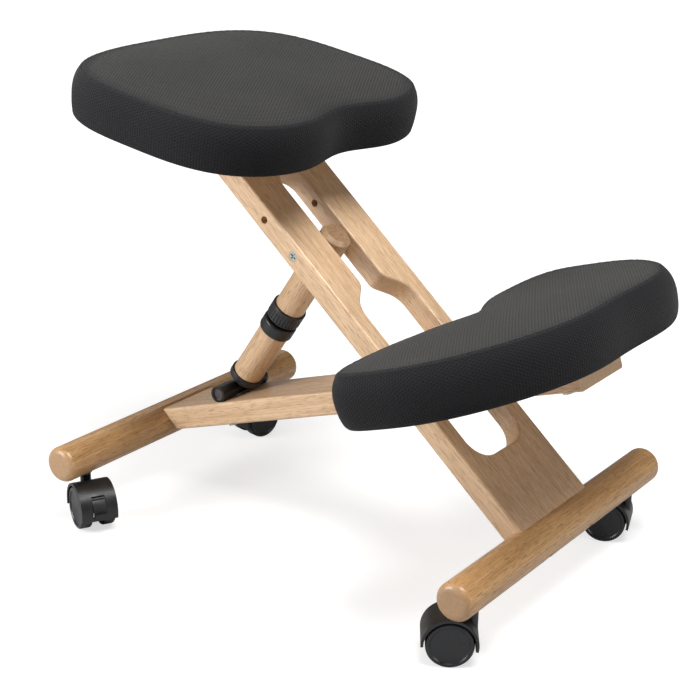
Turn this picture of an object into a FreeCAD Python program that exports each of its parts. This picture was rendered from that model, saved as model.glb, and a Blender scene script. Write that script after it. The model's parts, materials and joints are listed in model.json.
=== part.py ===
"""Kneeling chair: a slotted seat arm crossed by a knee arm, held open by a screw strut, on four casters.

Millimetres. X is the width, -Y is the front (knee side), +Z is up. The origin ends up on the floor
under the middle of the whole object. Side names are those of the person sitting: right is -X.
"""
import FreeCAD, Part
import math
import os

V = FreeCAD.Vector
X_AXIS = V(1, 0, 0)
Z_AXIS = V(0, 0, 1)

# Foot bars and where they stand
bar_diameter = 42.0
bar_length = 425.0
bar_end_round = 8.0
wheelbase = 531.0
bar_clear_height = 59.0

# Seat arm: the wide slotted board from the front bar up to the seat
seat_arm_angle = 40.5
seat_arm_width = 142.0
seat_arm_thick = 26.0
seat_arm_reach = 573.0
wide_slot_width = 97.0
wide_slot_start = 102.0
wide_slot_end = 314.0
wide_slot_corner = 28.0
shoulder_length = 23.0
shoulder_round = 28.0
throat_round = 12.0
narrow_slot_width = 40.5
narrow_slot_end = 497.0
board_edge_round = 3.0
slot_edge_round = 3.0

# Knee arm: the narrow board from the rear bar up to the knee pad
knee_arm_angle = 18.7
knee_arm_width = 90.5
knee_arm_thick = 27.5
knee_arm_rise = 1.3
knee_arm_past_pad = 62.0
knee_arm_end_slant = 32.3
bar_flat_depth = 1.5
bar_flat_clearance = 0.25

# Bolts that hold the bars on the boards
bar_bolt_diameter = 6.0
bar_bolt_head = 12.5
bar_bolt_head_height = 4.0
bar_bolt_recess = 6.0
bar_bolt_reach = 68.0
barrel_nut_diameter = 10.0
barrel_nut_length = 16.0
barrel_nut_reach = 60.0
seat_arm_bolt_half_gap = 45.0
knee_arm_bolt_half_gap = 25.0
hole_clearance = 0.2

# Pivot where the two boards cross
pivot_diameter = 10.0
pivot_head = 16.0
pivot_head_height = 3.0
pivot_sleeve = 13.0
bush_outer = 15.0
bush_length = 16.0
bush_flange = 24.0
running_clearance = 0.06
face_clearance = 0.3

# Strut that sets the height
strut_foot_reach = 107.0
strut_bolt_reach = 401.0
spare_hole_reach = 452.7
strut_wood_diameter = 36.0
foot_block_diameter = 20.0
foot_block_flat = 0.5
foot_barrel_length = 83.0
foot_eye_length = 31.0
foot_eye_clearance = 0.4
foot_pin_diameter = 14.0
foot_pin_recess = 1.6
foot_bolt_half_gap = 28.0
foot_bolt_diameter = 6.0
foot_bolt_head = 11.0
foot_bolt_head_height = 4.0
cup_diameter = 40.4
cup_base = 12.0
cup_floor = 2.5
cup_rim = 24.0
cup_chamfer = 4.0
snap_ring_wire = 1.6
snap_ring_height = 19.0
grip_top = 103.0
collar_diameter = 41.0
collar_bottom = 99.0
collar_top = 115.0
screw_diameter = 16.0
screw_bottom = 45.0
screw_short_of_bolt = 37.0
screw_end_space = 7.0
screw_side_space = 1.0
lock_ring_diameter = 41.0
lock_ring_bottom = 118.0
lock_ring_top = 138.0
lock_ring_neck = 31.0
lock_ring_bevel = 3.0
collar_bevel = 3.0
lock_ring_flutes = 30
lock_ring_flute_radius = 1.1
dowel_bottom = 124.0
dowel_past_bolt = 14.6
dowel_chamfer = 4.5
insert_diameter = 24.0
insert_top = 150.0
strut_bolt_diameter = 8.0
strut_bolt_head = 11.0
strut_bolt_head_height = 2.6
strut_bolt_head_sink = 2.9
strut_bolt_sleeve = 10.0
strut_bolt_sleeve_length = 20.0
strut_cross_clearance = 1.5
strut_washer_diameter = 20.0
cross_recess_width = 1.6
cross_recess_length = 7.0
cross_recess_depth = 1.4
spare_hole_diameter = 8.5

# Pads: half outlines are superellipses, bent back at the ends and scooped in the middle
seat_pitch = 8.8
knee_pad_gap = 4.35
pad_arcs = 20
rear_edge_steps = 200
pad_board_thick = 12.0
pad_board_inset = 16.0
pad_side_height = 52.0
pad_base_tuck = 6.0
seat_pad = {
    "width": 391.0, "front": 156.0, "rear": 149.5, "front_square": 3.16, "rear_square": 3.04,
    "front_scoop": 18.0, "front_scoop_width": 57.0, "rear_notch": 0.0, "rear_notch_width": 60.0,
    "sweep": 0.0, "side": 52.0, "seam_inset": 8.4, "crown": 10.0,
}
knee_pad = {
    "width": 473.0, "front": 126.0, "rear": 116.0, "front_square": 2.99, "rear_square": 2.44,
    "front_scoop": 14.5, "front_scoop_width": 78.0, "rear_notch": 28.0, "rear_notch_width": 54.5,
    "sweep": 63.0, "side": 57.0, "seam_inset": 10.5, "crown": 8.5,
}
pad_bolt_diameter = 6.0
pad_bolt_head = 12.0
pad_bolt_head_height = 4.0
pad_bolt_recess_diameter = 14.0
pad_bolt_ledge = 1.0
tee_nut_flange = 18.0
tee_nut_flange_thick = 1.5
tee_nut_barrel = 8.0
tee_nut_length = 9.0
seat_bolt_half_gap = 48.0
seat_rear_bolt_place = 15.5
seat_front_bolt_place = -40.0
seat_wedge_length = 60.0
seat_wedge_half_width = 60.0
knee_bolt_half_gap = 28.0
knee_bolt_places = (56.0, -36.0)

# Casters
caster_side = 171.0
caster_trail = 22.0
wheel_diameter = 50.0
wheel_width = 14.3
wheel_gap = 13.2
wheel_edge_round = 2.5
wheel_dish_depth = 1.2
wheel_dish_radius = 21.0
wheel_face = 1.6
caster_axle_diameter = 5.0
hood_outer = 29.5
hood_inner = 26.5
hood_width = 43.0
hood_start_angle = -3.0
braked_hood_start_angle = -16.0
hood_end_angle = 192.0
hood_web = 12.0
hood_web_end_angle = 179.0
hood_web_root = 2.0
hood_axle_boss = 14.0
hood_neck_diameter = 12.5
hood_neck_bottom = 20.0
hood_neck_top = 56.0
stem_diameter = 8.0
stem_bottom = 23.0
stem_collar_diameter = 12.0
stem_collar_thick = 1.8
socket_diameter = 11.0
socket_depth = 28.0
socket_flange_diameter = 16.0
socket_flange_thick = 1.2
stem_top_gap = 2.0
caster_trail_angles = {
    "front_right": 124.0,
    "front_left": 110.0,
    "rear_right": -118.0,
    "rear_left": 169.0,
}

# Brake lever on the two rear casters
lever_width = 15.0
lever_window_low_angle = -7.0
lever_window_high_angle = 44.0
lever_pin_diameter = 2.5
lever_pin_angle = 38.0
lever_pin_radius = 27.6
lever_thick = 2.4
lever_lift = 3.4
lever_tab = 4.5
lever_gap = 0.5

# Places worked out from the sizes above, with the rear bar axis at y = 0
bar_radius = bar_diameter / 2
bar_height = bar_clear_height + bar_radius
front_bar_axis = V(0, -wheelbase, bar_height)
rear_bar_axis = V(0, 0, bar_height)
seat_arm_half = seat_arm_thick / 2
knee_top = knee_arm_rise + knee_arm_thick / 2
knee_bottom = knee_arm_rise - knee_arm_thick / 2

nodes = {}


def tilt(origin, degrees):
    """A frame at origin, turned about X by degrees."""
    return FreeCAD.Placement(origin, FreeCAD.Rotation(X_AXIS, degrees))


def place(shape, frame):
    """A copy of a shape built in a frame's own coordinates, put where the frame is."""
    moved = shape.copy()
    moved.Placement = frame.multiply(shape.Placement)
    return moved


def rod(radius, start, end):
    """A round bar between two points."""
    return Part.makeCylinder(radius, (end - start).Length, start, end - start)


def cross_rod(diameter, x0, x1, y=0.0, z=0.0):
    """A round bar along X."""
    return rod(diameter / 2, V(x0, y, z), V(x1, y, z))


def up_rod(diameter, z0, z1, x=0.0, y=0.0):
    """A round bar along Z."""
    return rod(diameter / 2, V(x, y, z0), V(x, y, z1))


def block(x0, x1, y0, y1, z0, z1):
    """A box between two corners."""
    return Part.makeBox(x1 - x0, y1 - y0, z1 - z0, V(x0, y0, z0))


def join(first, *others):
    """One solid from shapes that overlap or touch."""
    return first.fuse(list(others)).removeSplitter()


def group(shapes):
    """Several separate solids in one node."""
    return Part.makeCompound(shapes)


def rounded_wire(corners):
    """A closed wire at z = 0 through corners of (x, y, radius), each rounded by a tangent arc."""
    points = [V(x, y, 0) for x, y, radius in corners]
    edges = []
    ends = []
    for i, (x, y, radius) in enumerate(corners):
        corner = points[i]
        before = (points[i - 1] - corner).normalize()
        after = (points[(i + 1) % len(points)] - corner).normalize()
        half_angle = before.getAngle(after) / 2
        cut = radius / math.tan(half_angle)
        middle = (before + after).normalize()
        centre = corner + middle * (radius / math.sin(half_angle))
        start, end = corner + before * cut, corner + after * cut
        edges.append(Part.Arc(start, centre - middle * radius, end).toShape())
        ends.append((start, end))
    for i in range(len(ends)):
        start, end = ends[i - 1][1], ends[i][0]
        if (end - start).Length > 1e-4:
            edges.append(Part.LineSegment(start, end).toShape())
    return Part.Wire(Part.__sortEdges__(edges))


def prism(wire, z0, z1):
    """A wire at z = 0 filled and drawn from z0 to z1."""
    face = Part.Face(wire)
    face.translate(V(0, 0, z0))
    return face.extrude(V(0, 0, z1 - z0))


def long_edges(shape, axis):
    """The straight edges of a shape that run along one axis."""
    found = []
    for edge in shape.Edges:
        along = edge.Vertexes[-1].Point - edge.Vertexes[0].Point
        if along.Length > 1 and abs(along.normalize().dot(axis)) > 0.999:
            found.append(edge)
    return found


# Frames that follow the boards: y runs along the board and z is its normal
seat_arm_frame = tilt(front_bar_axis, seat_arm_angle)
knee_arm_frame = tilt(rear_bar_axis, -knee_arm_angle)


def on_seat_arm(x, reach, rise):
    """A point on the seat arm: reach from the front bar's axis, rise above the mid-plane."""
    return seat_arm_frame.multVec(V(x, reach, rise))


def on_knee_arm(x, reach, rise):
    """A point on the knee arm: reach from the rear bar's axis, rise above that axis."""
    return knee_arm_frame.multVec(V(x, -reach, rise))


def outline_point(pad, angle):
    """A point of a pad's outline: angle 0 is the middle of the rear edge."""
    side, ahead = math.sin(angle), math.cos(angle)
    half = pad["width"] / 2
    if ahead > 0:
        depth, square = pad["rear"], pad["rear_square"]
        dent, dent_width = -pad["rear_notch"], pad["rear_notch_width"]
    else:
        depth, square = pad["front"], pad["front_square"]
        dent, dent_width = pad["front_scoop"], pad["front_scoop_width"]
    x = math.copysign(half * abs(side) ** (2 / square), side)
    y = math.copysign(depth * abs(ahead) ** (2 / square), ahead)
    y += dent * math.exp(-(x / dent_width) ** 2) * min(1.0, 1.6 * abs(ahead))
    return V(x, y + pad["sweep"] * (x / half) ** 2, 0)


def rear_edge(pad, half_width):
    """How far back a pad reaches anywhere within half_width of its middle."""
    steps = [outline_point(pad, math.pi / 2 * k / rear_edge_steps) for k in range(rear_edge_steps)]
    return max(point.y for point in steps if point.x <= half_width)


def crossing():
    """The pivot: where the mid-planes of the two boards cross."""
    a0, a1 = on_seat_arm(0, 0, 0), on_seat_arm(0, 1, 0)
    b0, b1 = on_knee_arm(0, 0, knee_arm_rise), on_knee_arm(0, 1, knee_arm_rise)
    u, v = a1 - a0, b1 - b0
    gap = b0 - a0
    along = (gap.y * v.z - gap.z * v.y) / (u.y * v.z - u.z * v.y)
    return a0 + u * along


pivot = crossing()
arms_angle = math.radians(seat_arm_angle + knee_arm_angle)
pivot_on_knee_arm = -knee_arm_frame.inverse().multVec(pivot).y
front_face_on_knee_arm = pivot_on_knee_arm + (
    seat_arm_half / math.sin(arms_angle) + knee_arm_thick / 2 / math.tan(arms_angle))
foot_pin_rise = knee_top + foot_block_diameter / 2 - foot_block_flat
foot_eye_diameter = 2 * (foot_pin_rise - knee_top - foot_eye_clearance)
foot_pivot = on_knee_arm(0, strut_foot_reach, foot_pin_rise)
strut_pin = on_seat_arm(0, strut_bolt_reach, 0)
strut_run = strut_pin - foot_pivot
strut_length = strut_run.Length
dowel_top = strut_length + dowel_past_bolt
screw_top = strut_length - screw_short_of_bolt
strut_frame = tilt(foot_pivot, math.degrees(math.atan2(-strut_run.y, strut_run.z)))
seat_frame = tilt(on_seat_arm(0, seat_arm_reach, seat_arm_half), seat_pitch)
knee_pad_rear = rear_edge(knee_pad, seat_arm_width / 2) - pad_base_tuck
knee_pad_reach = front_face_on_knee_arm + knee_pad_rear + knee_pad_gap
knee_arm_reach = knee_pad_reach + knee_arm_past_pad
knee_pad_frame = tilt(on_knee_arm(0, knee_pad_reach, knee_top), -knee_arm_angle)
seat_to_arm = math.radians(seat_arm_angle - seat_pitch)


def through(shape, frame_point_a, frame_point_b, diameter):
    """A shape with a round hole between two points."""
    return shape.cut(rod(diameter / 2, frame_point_a, frame_point_b))


# Foot bars


def foot_bar(axis):
    """A round wooden bar along X with rounded ends and holes for the two casters."""
    bar = cross_rod(bar_diameter, -bar_length / 2, bar_length / 2)
    ends = [edge for edge in bar.Edges if edge.Closed]
    bar = bar.makeFillet(bar_end_round, ends)
    bar = place(bar, tilt(axis, 0))
    for x in (-caster_side, caster_side):
        base = bar_clear_height
        bar = bar.cut(up_rod(socket_diameter, base - 1, base + socket_depth, x, axis.y))
        flange = socket_flange_diameter + 2 * hole_clearance
        bar = bar.cut(up_rod(flange, base - 1, base + socket_flange_thick, x, axis.y))
    return bar


def bar_bolt(x, direction):
    """A bolt along a board's own y axis, with its head sunk in the bar. direction is +1 or -1."""
    head = bar_radius - bar_bolt_recess
    tip = V(x, direction * bar_bolt_reach, 0)
    under = V(x, -direction * head, 0)
    top = V(x, -direction * (head + bar_bolt_head_height), 0)
    bolt = join(rod(bar_bolt_diameter / 2, under, tip), rod(bar_bolt_head / 2, top, under))
    socket = rod(bar_bolt_diameter * 0.4, top, top + (under - top) * 0.6)
    return bolt.cut(socket)


def bar_bolt_space(x, direction):
    """What a bar bolt and its head need to be free of."""
    head = bar_radius - bar_bolt_recess
    under = V(x, -direction * head, 0)
    outside = V(x, -direction * (bar_radius + 5), 0)
    tip = V(x, direction * (bar_bolt_reach + 1), 0)
    shank = rod(bar_bolt_diameter / 2 + hole_clearance, under, tip)
    return shank.fuse(rod(bar_bolt_head / 2 + hole_clearance, outside, under))


def barrel_nut(x, direction, bottom):
    """A cross dowel nut, drilled for its bolt, with its lower face level with the board."""
    y = direction * barrel_nut_reach
    nut = up_rod(barrel_nut_diameter, bottom, bottom + barrel_nut_length, x, y)
    bore = rod(bar_bolt_diameter / 2, V(x, y - barrel_nut_diameter, 0), V(x, y + barrel_nut_diameter, 0))
    return nut.cut(bore)


def fasten_bar(frame, board, bar, half_gap, direction, bottom):
    """Drill a board and its bar, and give back both with their bolts and nuts."""
    bolts, nuts = [], []
    nut_bottom = -barrel_nut_length / 2 - 1
    for x in (-half_gap, half_gap):
        space = place(bar_bolt_space(x, direction), frame)
        board, bar = board.cut(space), bar.cut(space)
        y = direction * barrel_nut_reach
        pocket = up_rod(barrel_nut_diameter, bottom - 1, nut_bottom + barrel_nut_length, x, y)
        board = board.cut(place(pocket, frame))
        bolts.append(place(bar_bolt(x, direction), frame))
        nuts.append(place(barrel_nut(x, direction, nut_bottom), frame))
    return board, bar, group(bolts), group(nuts)


# Boards


def slot_wire():
    """The slot's outline: wide where the knee arm passes, narrow where the strut's top passes."""
    wide, narrow = wide_slot_width / 2, narrow_slot_width / 2
    shoulder_top = wide_slot_end + shoulder_length
    end_round = narrow * 0.985
    right = [
        (wide, wide_slot_start, wide_slot_corner),
        (wide, wide_slot_end, shoulder_round),
        (narrow, shoulder_top, throat_round),
        (narrow, narrow_slot_end, end_round),
    ]
    left = [(-x, y, radius) for x, y, radius in reversed(right)]
    return rounded_wire(right + left)


def seat_arm_board():
    """The slotted board, coped onto the front bar and cut to the seat's slope at the top."""
    half = seat_arm_width / 2
    top_end = seat_arm_reach + seat_arm_thick * 2
    board = block(-half, half, 0, top_end, -seat_arm_half, seat_arm_half)
    board = board.makeFillet(board_edge_round, long_edges(board, V(0, 1, 0)))
    board = board.cut(prism(slot_wire(), -seat_arm_half - 1, seat_arm_half + 1))
    rim = []
    for edge in board.Edges:
        box = edge.BoundBox
        flat = box.ZLength < 1e-3 and abs(abs(box.ZMin) - seat_arm_half) < 1e-3
        inside = box.XMax < wide_slot_width / 2 + 0.1 and box.XMin > -wide_slot_width / 2 - 0.1
        along = box.YMin > wide_slot_start - 1 and box.YMax < narrow_slot_end + 1
        if flat and inside and along:
            rim.append(edge)
    board = board.makeFillet(slot_edge_round, rim)
    board = place(board, seat_arm_frame)
    board = board.cut(place(cross_rod(bar_diameter, -half - 1, half + 1), seat_arm_frame))
    far = 2 * seat_arm_width
    above_seat = place(block(-far, far, -far, far, 0, far), seat_frame)
    board = board.cut(above_seat)
    largest = max(board.Solids, key=lambda solid: solid.Volume)
    a, b = on_seat_arm(-half - 1, spare_hole_reach, 0), on_seat_arm(half + 1, spare_hole_reach, 0)
    return through(largest, a, b, spare_hole_diameter)


def slant_frame():
    """The slanted end of the knee arm: z points out of the bar, square to the cut."""
    return knee_arm_frame.multiply(tilt(V(0, 0, 0), 90 - knee_arm_end_slant))


def knee_arm_board():
    """The knee arm: square at the front, cut at a slant where it seats on the bar's flat."""
    half = knee_arm_width / 2
    board = block(-half, half, -knee_arm_reach, 0, knee_bottom, knee_top)
    board = board.makeFillet(board_edge_round, long_edges(board, V(0, 1, 0)))
    board = place(board, knee_arm_frame)
    seat = bar_radius - bar_flat_depth
    far = 2 * knee_arm_width
    waste = block(-far, far, -far, far, -far, seat)
    board = board.cut(place(waste, slant_frame()))
    return max(board.Solids, key=lambda solid: solid.Volume)


def bar_flat():
    """What is milled off the rear bar so that the knee arm seats on a flat."""
    half = knee_arm_width / 2 + bar_flat_clearance
    seat = bar_radius - bar_flat_depth
    return place(block(-half, half, -60, 60, seat, bar_radius + 5), slant_frame())


# Pads


def inset_point(pad, angle, inset):
    """A point of the outline moved inwards."""
    step = 0.02
    along = outline_point(pad, angle + step) - outline_point(pad, angle - step)
    inward = V(along.y, -along.x, 0).normalize()
    return outline_point(pad, angle) + inward * inset


def pad_ring(pad, inset, z, scale=1.0):
    """A closed wire of arcs that follows a pad's outline at one height."""
    edges = []
    turn = 2 * math.pi / pad_arcs
    half_turn = turn / 2
    points = []
    for i in range(2 * pad_arcs):
        point = inset_point(pad, (i + 0.5) * half_turn, inset) * scale
        points.append(V(point.x, point.y, z))
    for i in range(pad_arcs):
        a, b, c = points[2 * i], points[2 * i + 1], points[(2 * i + 2) % len(points)]
        edges.append(Part.Arc(a, b, c).toShape())
    return Part.Wire(edges)


def pad_cushion(pad):
    """Foam and cover: tucked in at the base, widest at half height, crowned above the seam."""
    side, seam, crown = pad["side"], pad["seam_inset"], pad["crown"]
    rings = [
        pad_ring(pad, pad_base_tuck, 0),
        pad_ring(pad, pad_base_tuck * 0.25, side * 0.22),
        pad_ring(pad, 0, side * 0.55),
        pad_ring(pad, seam * 0.3, side * 0.82),
        pad_ring(pad, seam, side),
        pad_ring(pad, seam, side + crown * 0.55, 0.85),
        pad_ring(pad, seam, side + crown, 0.5),
    ]
    cushion = Part.makeLoft(rings, True, True)
    return cushion.cut(prism(pad_ring(pad, pad_board_inset, 0), -1, pad_board_thick))


def pad_board(pad, bolt_places):
    """The plywood base of a pad, bored for its tee nuts."""
    board = prism(pad_ring(pad, pad_board_inset, 0), 0, pad_board_thick)
    for x, y in bolt_places:
        board = board.cut(up_rod(tee_nut_barrel, -1, pad_board_thick + 1, x, y))
        flange_bottom = pad_board_thick - tee_nut_flange_thick
        board = board.cut(up_rod(tee_nut_flange, flange_bottom, pad_board_thick + 1, x, y))
    return board


def tee_nut(x, y):
    """A flanged nut let into the top of a pad's base."""
    flange_bottom = pad_board_thick - tee_nut_flange_thick
    nut = join(
        up_rod(tee_nut_flange, flange_bottom, pad_board_thick, x, y),
        up_rod(tee_nut_barrel, pad_board_thick - tee_nut_length, flange_bottom, x, y),
    )
    return nut.cut(up_rod(pad_bolt_diameter, 0, pad_board_thick + 1, x, y))


def pad_bolt(x, y, head_top):
    """A bolt into a tee nut: head_top is where its head bears, below the pad's base."""
    tip = pad_board_thick - tee_nut_flange_thick
    return join(
        up_rod(pad_bolt_diameter, head_top, tip, x, y),
        up_rod(pad_bolt_head, head_top - pad_bolt_head_height, head_top, x, y),
    )


def pad_bolt_space(x, y, head_top):
    """What a pad bolt and the way to its head need to be free of."""
    shank = up_rod(pad_bolt_diameter + 2 * hole_clearance, head_top - 1, 1, x, y)
    return shank.fuse(up_rod(pad_bolt_recess_diameter, head_top - 60, head_top, x, y))


# Build the frame

seat_board_wood = seat_arm_board()
knee_board_wood = knee_arm_board()
front_bar = foot_bar(front_bar_axis)
rear_bar = foot_bar(rear_bar_axis).cut(bar_flat())

knee_bolt_frame = knee_arm_frame.multiply(tilt(V(0, 0, knee_arm_rise), 0))
seat_board_wood, front_bar, bolts, nuts = fasten_bar(
    seat_arm_frame, seat_board_wood, front_bar, seat_arm_bolt_half_gap, 1, -seat_arm_half)
nodes["front_bar_bolts"], nodes["front_bar_nuts"] = bolts, nuts
knee_board_wood, rear_bar, bolts, nuts = fasten_bar(
    knee_bolt_frame, knee_board_wood, rear_bar, knee_arm_bolt_half_gap, -1, -knee_arm_thick / 2)
nodes["rear_bar_bolts"], nodes["rear_bar_nuts"] = bolts, nuts

# Pivot: a bolt and a sleeve nut through both rails, and flanged bushes in the knee arm

pivot_frame = tilt(pivot, seat_arm_angle)
arm_half, knee_half = seat_arm_width / 2, knee_arm_width / 2
sleeve_end = wide_slot_width / 2 + 2
seat_board_wood = seat_board_wood.cut(
    place(cross_rod(pivot_diameter + 2 * hole_clearance, -arm_half - 1, 0), pivot_frame))
seat_board_wood = seat_board_wood.cut(place(cross_rod(pivot_sleeve, 0, arm_half + 1), pivot_frame))
knee_board_wood = knee_board_wood.cut(place(cross_rod(bush_outer, -knee_half - 1, knee_half + 1), pivot_frame))


def cross_recess(x, depth_direction):
    """A cross-shaped driver recess cut into a head whose outer face is at x."""
    x0, x1 = sorted((x, x + depth_direction * cross_recess_depth))
    long_half, thin_half = cross_recess_length / 2, cross_recess_width / 2
    upright = block(x0, x1, -thin_half, thin_half, -long_half, long_half)
    return upright.fuse(block(x0, x1, -long_half, long_half, -thin_half, thin_half))


pivot_end = arm_half + pivot_head_height
pivot_bolt = join(
    cross_rod(pivot_diameter, -arm_half, arm_half - 4),
    cross_rod(pivot_head, -pivot_end, -arm_half),
).cut(cross_recess(-pivot_end, 1))
nodes["pivot_bolt"] = place(pivot_bolt, pivot_frame)
pivot_nut = join(
    cross_rod(pivot_sleeve, sleeve_end, arm_half),
    cross_rod(pivot_head, arm_half, pivot_end),
).cut(cross_rod(pivot_diameter, 0, arm_half - 4)).cut(cross_recess(pivot_end, -1))
nodes["pivot_nut"] = place(pivot_nut, pivot_frame)
bushes = []
for direction in (-1, 1):
    inner = direction * (knee_half - bush_length)
    face = direction * knee_half
    outer = direction * (wide_slot_width / 2 - face_clearance)
    bush = join(cross_rod(bush_outer, inner, face), cross_rod(bush_flange, face, outer))
    bush = bush.cut(cross_rod(pivot_diameter + 2 * running_clearance, inner - direction, outer + direction))
    bushes.append(place(bush, pivot_frame))
nodes["pivot_bushes"] = group(bushes)

# Strut foot: a barrel across the knee arm, made of two blocks and an eye on one pin

block_end = foot_barrel_length / 2
eye_end = foot_eye_length / 2
foot_frame = knee_arm_frame.multiply(tilt(V(0, -strut_foot_reach, foot_pin_rise), 0))
foot_bolt_bottom = knee_bottom - foot_pin_rise
foot_bolt_top = foot_pin_diameter * 0.3
blocks, bolts = [], []
pin = cross_rod(foot_pin_diameter, -block_end + foot_pin_recess, block_end - foot_pin_recess)
for direction in (-1, 1):
    x = direction * foot_bolt_half_gap
    piece = cross_rod(foot_block_diameter, direction * (eye_end + face_clearance), direction * block_end)
    piece = piece.cut(block(-100, 100, -20, 20, -40, foot_block_flat - foot_block_diameter / 2))
    piece = piece.cut(cross_rod(foot_pin_diameter, -block_end - 1, block_end + 1))
    space = up_rod(foot_bolt_diameter, -60, foot_bolt_top, x, 0)
    blocks.append(place(piece.cut(space), foot_frame))
    pin = pin.cut(space)
    knee_board_wood = knee_board_wood.cut(
        place(up_rod(foot_bolt_diameter + 2 * hole_clearance, foot_bolt_bottom - 1, 0, x, 0), foot_frame))
    bolts.append(place(join(
        up_rod(foot_bolt_diameter, foot_bolt_bottom, foot_bolt_top, x, 0),
        up_rod(foot_bolt_head, foot_bolt_bottom - foot_bolt_head_height, foot_bolt_bottom, x, 0),
    ), foot_frame))
nodes["strut_foot_blocks"] = group(blocks)
nodes["strut_foot_pin"] = place(pin, foot_frame)
nodes["strut_foot_bolts"] = group(bolts)

# Foot cup, grip, screw and dowel, all round about the strut's axis


def chamfer_ends(shape, size, z):
    """A round shape with its edges at height z chamfered."""
    edges = [edge for edge in shape.Edges if edge.Closed and edge.BoundBox.ZLength < 1e-3
             and abs(edge.BoundBox.ZMin - z) < 1e-3]
    largest = max(edges, key=lambda edge: edge.Length)
    return shape.makeChamfer(size, [largest])


def fillet_rim(shape, size, z):
    """A round shape with its outer edge at height z rounded."""
    edges = [edge for edge in shape.Edges if edge.Closed and edge.BoundBox.ZLength < 1e-3
             and abs(edge.BoundBox.ZMin - z) < 1e-3]
    largest = max(edges, key=lambda edge: edge.Length)
    return shape.makeFillet(size, [largest])


wood = strut_wood_diameter
ring_groove = Part.makeTorus(wood / 2, snap_ring_wire / 2 + 0.15, V(0, 0, snap_ring_height), Z_AXIS)
cup = fillet_rim(up_rod(cup_diameter, cup_base, cup_rim), 1.2, cup_rim)
cup = chamfer_ends(cup, cup_chamfer, cup_base)
neck = up_rod(foot_eye_diameter, 0, cup_base + 1)
cup = join(cup, cross_rod(foot_eye_diameter, -eye_end, eye_end), neck)
cup = cup.cut(cross_rod(foot_pin_diameter + 2 * running_clearance, -eye_end - 1, eye_end + 1))
cup_space = up_rod(wood + 2 * running_clearance, cup_base + cup_floor, cup_rim + 1)
cup = cup.cut(cup_space).cut(ring_groove)
nodes["strut_foot_cup"] = place(cup, strut_frame)
snap_ring = Part.makeTorus(wood / 2, snap_ring_wire / 2, V(0, 0, snap_ring_height), Z_AXIS)
nodes["grip_snap_ring"] = place(snap_ring, strut_frame)

grip_bottom = cup_base + cup_floor + face_clearance
grip = up_rod(wood, grip_bottom, grip_top).cut(up_rod(screw_diameter, screw_bottom, grip_top + 1))
nodes["strut_grip"] = place(grip.cut(snap_ring), strut_frame)
collar = fillet_rim(up_rod(collar_diameter, collar_bottom, collar_top), collar_bevel, collar_top)
collar = fillet_rim(collar, 1.0, collar_bottom)
collar = collar.cut(up_rod(wood, collar_bottom - 1, grip_top))
collar = collar.cut(up_rod(screw_diameter, 0, collar_top + 1))
nodes["grip_collar"] = place(collar, strut_frame)
nodes["strut_screw"] = place(up_rod(screw_diameter, screw_bottom, screw_top), strut_frame)

lock_ring = fillet_rim(up_rod(lock_ring_diameter, lock_ring_bottom, lock_ring_top), 1.5, lock_ring_top)
lock_ring = fillet_rim(lock_ring, lock_ring_bevel, lock_ring_bottom)
flutes = []
for i in range(lock_ring_flutes):
    angle = 2 * math.pi * i / lock_ring_flutes
    x = (lock_ring_diameter / 2 + 0.35) * math.cos(angle)
    y = (lock_ring_diameter / 2 + 0.35) * math.sin(angle)
    low, high = lock_ring_bottom + 4, lock_ring_top - 5
    flutes.append(up_rod(2 * lock_ring_flute_radius, low, high, x, y))
lock_ring = lock_ring.cut(flutes)
lock_ring = join(lock_ring, up_rod(lock_ring_neck, collar_top + face_clearance, lock_ring_bottom + 1))
lock_ring = lock_ring.cut(up_rod(wood, dowel_bottom, lock_ring_top + 1))
lock_ring = lock_ring.cut(up_rod(screw_diameter + 2 * screw_side_space, 0, lock_ring_top + 1))
nodes["lock_ring"] = place(lock_ring, strut_frame)
insert = up_rod(insert_diameter, dowel_bottom, insert_top)
insert = insert.cut(up_rod(screw_diameter + 2 * running_clearance, 0, insert_top + 1))
nodes["strut_insert"] = place(insert, strut_frame)
dowel = chamfer_ends(up_rod(wood, dowel_bottom, dowel_top), dowel_chamfer, dowel_top)
dowel = dowel.cut(up_rod(insert_diameter, dowel_bottom - 1, insert_top))
screw_space = screw_diameter + 2 * screw_side_space
dowel = dowel.cut(up_rod(screw_space, 0, screw_top + screw_end_space))
cross_hole = strut_bolt_diameter + 2 * strut_cross_clearance
dowel = dowel.cut(cross_rod(cross_hole, -wood, wood, 0, strut_length))
nodes["strut_dowel"] = place(dowel, strut_frame)

# The bolt that hangs the strut in the seat arm's rails

bolt_frame = tilt(strut_pin, seat_arm_angle)
head_face = arm_half - strut_bolt_head_sink + strut_bolt_head_height
head_seat = arm_half - strut_bolt_head_sink
sleeve_start = arm_half - strut_bolt_sleeve_length
for x0, x1, diameter in (
    (-arm_half - 1, 0, strut_bolt_diameter + 2 * hole_clearance),
    (0, arm_half + 1, strut_bolt_sleeve),
    (-arm_half - 1, -head_seat, strut_bolt_head + 2 * hole_clearance),
    (head_seat, arm_half + 1, strut_bolt_head + 2 * hole_clearance),
):
    seat_board_wood = seat_board_wood.cut(place(cross_rod(diameter, x0, x1), bolt_frame))
strut_bolt = join(
    cross_rod(strut_bolt_diameter, -head_seat, head_seat - 3),
    cross_rod(strut_bolt_head, -head_face, -head_seat),
).cut(cross_recess(-head_face, 1))
nodes["strut_bolt"] = place(strut_bolt, bolt_frame)
strut_nut = join(
    cross_rod(strut_bolt_sleeve, sleeve_start, head_seat),
    cross_rod(strut_bolt_head, head_seat, head_face),
).cut(cross_rod(strut_bolt_diameter, 0, head_seat - 3)).cut(cross_recess(head_face, -1))
nodes["strut_bolt_nut"] = place(strut_nut, bolt_frame)
washers = []
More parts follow.
